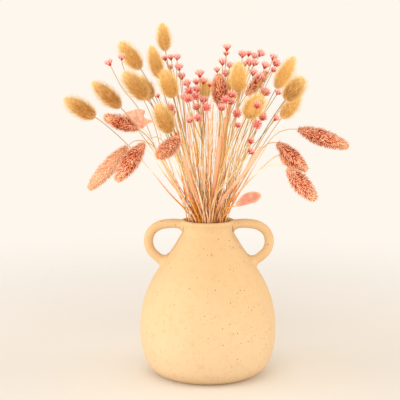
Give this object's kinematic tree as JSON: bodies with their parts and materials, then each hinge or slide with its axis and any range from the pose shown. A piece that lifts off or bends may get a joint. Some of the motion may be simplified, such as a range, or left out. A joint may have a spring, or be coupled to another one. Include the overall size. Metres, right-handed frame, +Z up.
{
  "type": "vase of dried flowers",
  "caption": "Dried bouquet of bunny tails, nodding canary grass and small star flowers in a squat speckled stoneware vase with two ear handles.",
  "frame": {"origin": "middle of the vase's flat foot, on the surface that it stands on", "axes": "+Z up along the vase's axis; the two handles lie along X; the bouquet's front faces -Y"},
  "size_m": [0.314, 0.1784, 0.3899],
  "materials": {
    "stoneware": "matte unglazed sand stoneware with fine dark specks",
    "bunny_tail": "soft matte golden fuzz",
    "canary_grass": "matte salmon-pink bracts",
    "star_flower": "matte coral-pink papery petals",
    "straw": "satin dry straw",
    "dry_leaf": "matte dyed dry leaf"
  },
  "bodies": {
    "root": {"vase": "stoneware", "bunny_tail_01": "bunny_tail", "bunny_tail_02": "bunny_tail", "bunny_tail_03": "bunny_tail", "bunny_tail_04": "bunny_tail", "bunny_tail_05": "bunny_tail", "bunny_tail_06": "bunny_tail", "bunny_tail_07": "bunny_tail", "bunny_tail_08": "bunny_tail", "bunny_tail_09": "bunny_tail", "bunny_tail_10": "bunny_tail", "bunny_tail_11": "bunny_tail", "bunny_tail_12": "bunny_tail", "bunny_tail_13": "bunny_tail", "bunny_tail_14": "bunny_tail", "bunny_tail_15": "bunny_tail", "bunny_tail_16": "bunny_tail", "bunny_tail_17": "bunny_tail", "bunny_tail_18": "bunny_tail", "canary_grass_01": "canary_grass", "canary_grass_02": "canary_grass", "canary_grass_03": "canary_grass", "canary_grass_04": "canary_grass", "canary_grass_05": "canary_grass", "canary_grass_06": "canary_grass", "canary_grass_07": "canary_grass", "canary_grass_08": "canary_grass", "canary_grass_09": "canary_grass", "canary_grass_10": "canary_grass", "canary_grass_11": "canary_grass", "canary_grass_12": "canary_grass", "star_spray_01": "star_flower", "star_spray_02": "star_flower", "star_spray_03": "star_flower", "star_spray_04": "star_flower", "star_spray_05": "star_flower", "star_spray_06": "star_flower", "star_spray_07": "star_flower", "star_spray_08": "star_flower", "star_spray_09": "star_flower", "star_spray_10": "star_flower", "star_spray_11": "star_flower", "star_spray_12": "star_flower", "star_spray_13": "star_flower", "star_spray_14": "star_flower", "star_spray_15": "star_flower", "star_spray_16": "star_flower", "straw_01": "straw", "straw_02": "straw", "straw_03": "straw", "straw_04": "straw", "straw_05": "straw", "straw_06": "straw", "leaf_sheath_01": "straw", "leaf_sheath_02": "straw", "leaf_sheath_03": "straw", "leaf_sheath_04": "straw", "oval_leaf": "dry_leaf", "lobed_leaf": "dry_leaf"}
  },
  "joints": []
}
